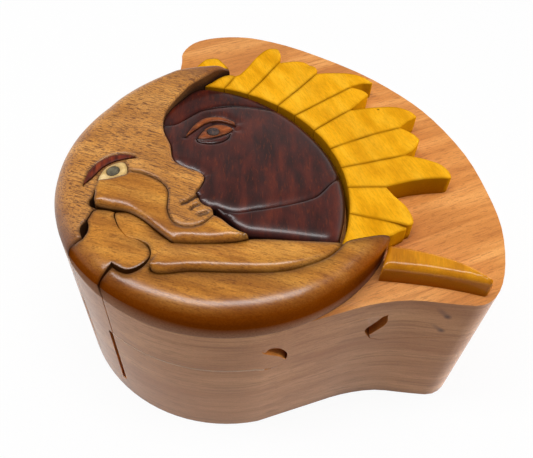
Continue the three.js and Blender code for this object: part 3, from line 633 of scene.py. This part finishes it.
def carvePiece(name, own, height, material, body="lid"):
    p = {"frontEdge": own["edge"], "backEdge": own["edge"], **plainPiece, **own}
    skip = p["skipRim"]
    loops = [grown(smoothLoop(loop, mesher["outlineStep"]), p["grow"], skip) for loop in undersideLoops(name)]
    inner = innerPoints(loops, mesher, alongCuts(p["cuts"]))
    spots = np.concatenate(loops + [inner])
    rimCount = len(spots) - len(inner)
    depth, facing = nearestEdge(spots, loops, skip)
    front, back = (np.clip(side * facing[:, 1], 0, 1)**1.5 for side in (-1, 1))
    width, drop = (p["edge"][i] + (p["frontEdge"][i] - p["edge"][i]) * front
                   + (p["backEdge"][i] - p["edge"][i]) * back for i in (0, 1))
    openness = np.ones(len(spots))
    waves = np.array([softNoise(x, y, p["waveSize"], p["seed"]) for x, y in spots])
    top = np.minimum(modelTop, height(spots) + p["waves"] * waves)
    for at, reach in p["flush"]:  # pieces that lie level there, with a joint that hardly shows
        level = np.clip(np.hypot(spots[:, 0] - at[0], spots[:, 1] - at[1]) / reach, 0, 1)**2
        drop, openness = drop * level, np.minimum(openness, level)
    cutDepth = carvedDepth(spots, p["cuts"])
    top -= edgeDrop(depth, width, drop) + cutDepth
    nearTip = np.zeros(len(spots))
    if "tipDrop" in p:  # rounded down towards the point that is farthest from the sun
        away = np.hypot(loops[0][:, 0] - sun["centre"][0], loops[0][:, 1] - sun["centre"][1])
        tip = loops[0][away.argmax()]
        nearTip = np.clip(1 - np.hypot(*(spots - tip).T) / p["tipReach"], 0, 1)
        top -= p["tipDrop"] * nearTip**2
    mesh = carvedMesh(name, loops, spots, top)

    # dark joints, widened into a painted shadow along back edges, plus painted shade in carved creases
    seam = openness * np.exp(-depth / (p["jointShadeWidth"] + p["backShade"] * back)) + p["cutShade"] * cutDepth
    # painted shade on rounded front edges and on the rounded-down ray tips
    rim = p["frontShade"] * front * np.exp(-(depth / width)**2) + p["tipShade"] * nearTip**1.5
    if skip is onMoonRim:
        rim = np.maximum(rim, moonRimShade(spots))
    if "hornShade" in p:  # darker from one place to another
        start, end, amount = p["hornShade"]
        along = (spots - start) @ (np.subtract(end, start)) / np.sum(np.subtract(end, start)**2)
        rim = np.maximum(rim, amount * np.clip(along, 0, 1))
    onRim = onMoonRim(spots[:rimCount]) if skip is onMoonRim else np.zeros(rimCount, bool)
    foot = np.where(onRim, footShade(spots[:rimCount]), 0)
    # upright sides take the joint colour and the rim's painted shade; the moon's rim band keeps only the
    # painted shade and the pale foot
    addMask(mesh, "seam", np.concatenate([seam, np.where(onRim, 0, 1)]))
    addMask(mesh, "rim", np.concatenate([rim, np.ones(rimCount)]))
    addMask(mesh, "foot", np.concatenate([foot, np.zeros(len(inner)), onRim]))
    mesh.materials.append(material)
    piece = bpy.data.objects.new(name + "_carved", mesh)
    bpy.context.scene.collection.objects.link(piece)
    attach(piece, body)
    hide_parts(name)
    return piece


def moonHeight(top, riseLimit=0.0):
    def height(spots):
        inward = np.maximum(0, insideRim(spots, moon))
        turn = turnRound(spots, moon) % 360
        rows = ("rounding", "band", "fall")
        rounding, band, fall = (np.interp(turn, moon["turn"], moon[row]) for row in rows)
        inside = inward - rounding
        level = top + np.clip(inside * moon["rise"], 0, riseLimit)
        level -= fall * (1 - np.clip(inside / moon["fallReach"], 0, 1))
        beyond = np.maximum(0, spots[:, 0] - moon["tipFromX"])
        level -= np.where(spots[:, 1] > moon["tipBehindY"], moon["tipFall"] * beyond**2, 0)
        start = np.minimum(band, level - moon["bandDrop"])
        return start + (level - start) * np.sqrt(1 - (1 - np.minimum(1, inward / rounding))**2)
    return height


def slopedHeight(spots, p):
    x, y = spots[:, 0] - p["at"][0], spots[:, 1] - p["at"][1]
    return p["height"] + p["slopeX"] * x + p["slopeY"] * y - p["bow"] * (x**2 + y**2)


def sunHeight(spots):
    share = np.interp(turnRound(spots, sun), sun["turn"], sun["rimShare"])
    return slopedHeight(spots, sun) - share * edgeDrop(insideRim(spots, sun), sun["rimWidth"], sun["rimDrop"])


def rayHeight(spots):
    return np.full(len(spots), rayTop)


def lifted(height, rise):
    return lambda spots: height(spots) + rise


# Moon

crownHeight = moonHeight(moon["top"], moon["riseLimit"])
jawHeight = moonHeight(moon["jawTop"])

mouthCreases = [
    {"path": [(-23.9, -28.4), (-22.8, -27.8), (-21.5, -26.5), (-20.1, -25.3)], "width": 0.45, "depth": 1.1},
    {"path": [(-21.5, -29.9), (-20.9, -29.0), (-19.8, -28.4)], "width": 0.42, "depth": 0.9},
    {"path": [(-19.4, -31.7), (-18.5, -31.3), (-17.3, -30.7)], "width": 0.6, "depth": 0.7}]
keyJoint = ((-36.0, -37.5), 7.0)  # where key and jaw lie level, and how far round
foldJoint = ((-27.0, -41.8), 3.4)  # where fold and jaw lie level

crown = {"edge": (0.8, 0.5), "frontEdge": (1.3, 1.0), "skipRim": onMoonRim, "waves": 0.22, "waveSize": 9,
         "seed": 1.0, "frontShade": 0.3, "hornShade": ((-28.0, 16.0), (-19.0, 30.0), 0.9),
         "cuts": mouthCreases}
carvePiece("moon_crown", crown, crownHeight, crownWood)

cheek = {"edge": (0.3, 0.15), "frontEdge": (3.2, 2.0), "waves": 0.15, "seed": 2.0, "frontShade": 0.2,
         "plane": {"at": (-30, -30), "height": 60.4, "slopeX": 0, "slopeY": -0.03, "bow": 0}}
carvePiece("moon_cheek", cheek, lambda spots: slopedHeight(spots, cheek["plane"]), moonWood)

fold = {"edge": (0.3, 0.12), "frontEdge": (3.4, 2.4), "backShade": 0.6, "waves": 0.12, "seed": 3.0,
        "frontShade": 0.3, "flush": [foldJoint],
        "plane": {"at": (0, -38), "height": 58.9, "slopeX": 0, "slopeY": -0.2, "bow": 0}}
carvePiece("moon_fold", fold, lambda spots: slopedHeight(spots, fold["plane"]), moonWood)

# backShade paints the shadow under the fold and the key's knob
jaw = {"edge": (0.3, 0.12), "backEdge": (0.7, 0.5), "backShade": 1.3, "skipRim": onMoonRim, "waves": 0.25,
       "waveSize": 9, "seed": 4.0, "hornShade": ((12.0, -38.0), (27.0, -33.0), 0.3),
       "flush": [keyJoint, foldJoint]}
carvePiece("moon_jaw", jaw, jawHeight, moonWood)

brow = {"edge": (0.3, 0.15), "waves": 0.05, "seed": 5.0}
carvePiece("moon_brow", brow, lifted(crownHeight, 0.1), redWood)

moonEye = {"edge": (0.3, 0.15), "waves": 0.05, "seed": 6.0}
carvePiece("moon_eye", moonEye, crownHeight, eyeWood)
carvePiece("moon_pupil", {"edge": (0.2, 0.1), "waves": 0.03}, crownHeight, pupilWood)
print("moon carved")


# Sun

sunLook = {"edge": (0.6, 0.3), "skipRim": onSunRim, "waves": 0.12, "waveSize": 10}
foreheadJoint = ((-36.0, 5.0), 12.0)  # where forehead and face lie level

# a wider joint colour paints the shadow in the gap next to the crown
forehead = {**sunLook, "edge": (0.9, 0.5), "frontEdge": (1.2, 0.3), "seed": 7.0, "grow": 0.0, "jointShadeWidth": 0.5,
            "flush": [foreheadJoint]}
carvePiece("sun_forehead", forehead, sunHeight, foreheadWood)

face = {**sunLook, "frontEdge": (4.4, 1.6), "seed": 8.0, "flush": [foreheadJoint]}
carvePiece("sun_face", face, sunHeight, sunWood)
carvePiece("sun_jaw", {**sunLook, "frontEdge": (4.4, 2.0), "seed": 9.0}, sunHeight, sunWood)
carvePiece("sun_upper_lid", {"edge": (0.5, 0.4), "waves": 0.05}, lifted(sunHeight, 0.45), lidWood)
carvePiece("sun_eye", {"edge": (0.5, 0.3), "waves": 0.05}, lifted(sunHeight, 0.1), lidWood)
carvePiece("sun_pupil", {"edge": (0.2, 0.1), "waves": 0.03}, lifted(sunHeight, 0.1), darkWood)
carvePiece("sun_lower_lid", {"edge": (0.6, 0.4), "waves": 0.05}, lifted(sunHeight, 0.15), sunWood)
print("sun carved")


# Rays

# tipShade paints shade on the rounded-down tips
ray = {"edge": (0.35, 0.22), "frontEdge": (0.45, 0.3), "waves": 0.14, "waveSize": 5, "count": 11,
       "tipDrop": 1.2, "tipReach": 6.0, "tipShade": 0.55}
for number in range(1, ray["count"] + 1):
    carvePiece(f"sun_ray_{number:02d}", {**ray, "seed": 20.0 + number}, rayHeight, rayWood)
rimRay = {"edge": (1.3, 1.0), "frontEdge": (2.0, 1.8), "backEdge": (0.5, 0.3), "waves": 0.1, "waveSize": 6,
          "seed": 32.0}
carvePiece("sun_ray_12", rimRay, rayHeight, amberWood)
print("rays carved")


# Beech block: the imported solids with an eased top edge, and a seam that is nearly closed, eased too and
# painted pale as a highlight

blockEdge = {"top": 0.9, "seam": 0.42, "steps": 3, "sharp": math.radians(35), "fromMoon": 0.4,
             "joined": 0.002, "level": math.radians(0.4),  # nearer points are one, flatter edges go
             "seamZone": (31, 38), "tongueFrom": 40.5, "tongueSide": 2,  # heights, and x at the first slot
             "seamRise": 0.12, "tongueRise": 0.15, "tongueShift": 0.15,
             "rimZone": (31, 37), "rimStep": 0.7, "rimWithin": 0.2,
             "rimEnds": (24.0, -4.0)}  # the x where the seam's painted highlight ends, in front and behind
wall = {"curveStep": 0.5, "within": 0.35, "upright": 0.1, "facing": 0.8}
finishes = {"top": 0, "wall": 1, "sawn": 2, "easedSeam": 3}
blockLoop = undersideLoops("base_floor")


def blockMesh(node):
    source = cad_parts[node].data
    bm = bmesh.new()
    bm.from_mesh(source)
    bmesh.ops.remove_doubles(bm, verts=bm.verts, dist=blockEdge["joined"] * mm)
    bmesh.ops.dissolve_limit(bm, verts=bm.verts, edges=bm.edges, angle_limit=blockEdge["level"])
    return bm


def isSharp(edge):
    return len(edge.link_faces) == 2 and edge.calc_face_angle(0) > blockEdge["sharp"]


def farFromMoon(point):
    x, y = point.x / mm - moon["centre"][0], point.y / mm - moon["centre"][1]
    return math.hypot(x, y) > moon["radius"] + blockEdge["fromMoon"]


def closeSeam(bm):  # brings the base up to the lid, so that the saw cut between them is a fine line
    low, high = blockEdge["seamZone"]
    for v in bm.verts:
        x, z = v.co.x / mm, v.co.z / mm
        if low < z < high:
            v.co.z += blockEdge["seamRise"] * mm
        elif z > blockEdge["tongueFrom"]:
            v.co.z += blockEdge["tongueRise"] * mm
            v.co.x -= blockEdge["tongueShift"] * mm if x < blockEdge["tongueSide"] else 0


def isSeamRim(edge):  # on the outer wall, nearly level, and left of where the seam's painted highlight ends
    a, b = (v.co for v in edge.verts)
    low, high = blockEdge["rimZone"]
    if not isSharp(edge) or min(a.z, b.z) < low * mm or max(a.z, b.z) > high * mm:
        return False
    end = blockEdge["rimEnds"][0 if a.y < 0 else 1]
    if abs(a.z - b.z) > blockEdge["rimStep"] * mm or max(a.x, b.x) > end * mm:
        return False
    depth, _ = nearestEdge(np.array([[v.x / mm, v.y / mm] for v in (a, b)]), blockLoop)
    return depth.max() < blockEdge["rimWithin"]


def softBlock(node, body, topEdge=False, seamEdge=False):
    bm = blockMesh(node)
    top = blockTop * mm - 1e-6
    rim, offset, seamFaces = [], blockEdge["top"], set()
    if topEdge:
        rim = [e for e in bm.edges if isSharp(e) and all(v.co.z > top and farFromMoon(v.co) for v in e.verts)]
    if seamEdge:
        closeSeam(bm)
        rim, offset = [e for e in bm.edges if isSeamRim(e)], blockEdge["seam"]
    if rim:
        made = bmesh.ops.bevel(bm, geom=rim, offset=offset * mm, segments=blockEdge["steps"], profile=0.5,
                               affect="EDGES", clamp_overlap=not seamEdge)
        seamFaces = set(made["faces"]) if seamEdge else seamFaces
    mesh = bpy.data.meshes.new(node + "_softened")
    for face in bm.faces:
        face.smooth = True
        face.material_index = finishes["easedSeam"] if face in seamFaces else faceFinish(face)
    bm.to_mesh(mesh)
    bm.free()
    mesh.set_sharp_from_angle(angle=blockEdge["sharp"])
    smoothWalls(mesh)
    for material in (beechTopLit, beechWallShaded, beechSawn, beechSeamHighlight):  # in the order of finishes
        mesh.materials.append(material)
    piece = bpy.data.objects.new(node + "_softened", mesh)
    bpy.context.scene.collection.objects.link(piece)
    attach(piece, body)
    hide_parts(node)
    return piece


def smoothWalls(mesh):  # the outer wall is shaded as the smooth curve of the outline
    curve = [smoothLoop(loop, wall["curveStep"]) for loop in blockLoop]
    normals = [Vector(n.vector) for n in mesh.corner_normals]
    outer = [face for face in mesh.polygons
             if face.material_index == finishes["wall"] and abs(face.normal.z) < wall["upright"]]
    corners = [c for face in outer for c in face.loop_indices]
    places = np.array([mesh.vertices[mesh.loops[c].vertex_index].co[:2] for c in corners]) / mm
    _, facing = nearestEdge(places, curve)
    for c, (x, y) in zip(corners, facing):
        if normals[c].x * x + normals[c].y * y > wall["facing"]:
            normals[c] = Vector((x, y, 0))
    mesh.normals_split_custom_set(normals)


def faceFinish(face):
    centre = face.calc_center_median()
    if face.normal.z > 0.5 and centre.z > (blockTop - 2) * mm:
        return finishes["top"]
    if face.normal.z < -0.9 and centre.z < 0.1 * mm:  # the underside looks like the outer wall
        return finishes["wall"]
    depth, _ = nearestEdge(np.array([[centre.x / mm, centre.y / mm]]), blockLoop)
    return finishes["wall" if depth[0] < wall["within"] else "sawn"]


softBlock("base_floor", "base")
softBlock("base_block", "base", seamEdge=True)
softBlock("lid_block", "lid", topEdge=True)
softBlock("key_column", "key")
keyFace = {"edge": (0.3, 0.12), "grow": 0.28, "backShade": 0.7, "frontShade": 0.5, "skipRim": onMoonRim,
           "waves": 0.2, "waveSize": 9, "seed": 4.5, "flush": [keyJoint]}
carvePiece("key_face", keyFace, jawHeight, moonWood, body="key")
print("beech and key done")


# White table, soft light from above and from both sides, and a pale room

room = {"floorSize": 6.0, "floorColour": (0.92, 0.92, 0.92), "floorGlow": 0.93,
        "sky": [(0.0, 0.90), (0.35, 0.40), (0.7, 0.20), (1.0, 0.30)],  # sine of the elevation and brightness
        "frontShade": 0.85, "frontFade": (-1.0, -0.2),  # the room is darker behind the viewer
        "overhead": {"place": (-0.18, -0.02, 0.8), "size": (1.0, 0.17), "power": 5.7, "tilt": 0},
        "left": {"place": (-0.9, 0.15, 0.17), "size": (0.3, 0.9), "power": 0.5, "tilt": -90},
        "right": {"place": (0.85, 0.24, 0.02), "size": (0.05, 0.5), "power": 14.0, "tilt": 90,
                  "mirrored": False}}


def addLamp(name, lamp):
    data = bpy.data.lights.new(name, "AREA")
    data.shape = "RECTANGLE"
    data.size, data.size_y = lamp["size"]
    data.energy = lamp["power"]
    obj = bpy.data.objects.new(name, data)
    obj.location = lamp["place"]
    obj.rotation_euler = (0, math.radians(lamp["tilt"]), 0)
    obj.visible_glossy = lamp.get("mirrored", True)
    bpy.context.scene.collection.objects.link(obj)


def seenDirectly(tree):  # 1 where the camera, a reflection or a refraction looks at it
    path = addNode(tree, "LightPath").outputs
    first = addMath(tree, "MAXIMUM", path["Is Camera Ray"], path["Is Glossy Ray"])
    return addMath(tree, "MAXIMUM", first, path["Is Transmission Ray"])


def addFloor(r):
    material, tree = newMaterial("table")
    matte = addNode(tree, "BsdfDiffuse", {"Color": r["floorColour"] + (1,)})
    glow = addNode(tree, "Emission", {"Color": (1, 1, 1, 1), "Strength": 1.0})
    factor = addMath(tree, "MULTIPLY", seenDirectly(tree), r["floorGlow"])
    mixed = addNode(tree, "MixShader", {0: factor, 1: matte.outputs[0], 2: glow.outputs[0]})
    tree.links.new(mixed.outputs[0], addNode(tree, "OutputMaterial").inputs[0])
    half = r["floorSize"] / 2
    mesh = bpy.data.meshes.new("table")
    corners = [(-half, -half, 0), (half, -half, 0), (half, half, 0), (-half, half, 0)]
    mesh.from_pydata(corners, [], [(0, 1, 2, 3)])
    mesh.materials.append(material)
    obj = bpy.data.objects.new("table", mesh)
    bpy.context.scene.collection.objects.link(obj)


def addWorld(r):
    world = bpy.data.worlds.new("room")
    bpy.context.scene.world = world
    world.use_nodes = True
    tree = world.node_tree
    tree.nodes.clear()
    parts = addNode(tree, "SeparateXYZ", {0: addNode(tree, "TexCoord").outputs["Generated"]}).outputs
    shade = addRamp(tree, parts["Z"], [(place, (bright, bright, bright)) for place, bright in r["sky"]])
    front = addRange(tree, parts["Y"], *r["frontFade"], 1 - r["frontShade"], 1.0)
    fill = addNode(tree, "Background", {"Color": shade, "Strength": front})
    white = addNode(tree, "Background", {"Color": (1, 1, 1, 1), "Strength": 1.0})
    path = addNode(tree, "LightPath").outputs["Is Camera Ray"]
    mixed = addNode(tree, "MixShader", {0: path, 1: fill.outputs[0], 2: white.outputs[0]})
    tree.links.new(mixed.outputs[0], addNode(tree, "OutputWorld").inputs[0])


addFloor(room)
addWorld(room)
for lamp in ("overhead", "left", "right"):
    addLamp(lamp, room[lamp])
bpy.context.scene.view_settings.view_transform = "Standard"
print("room lit")
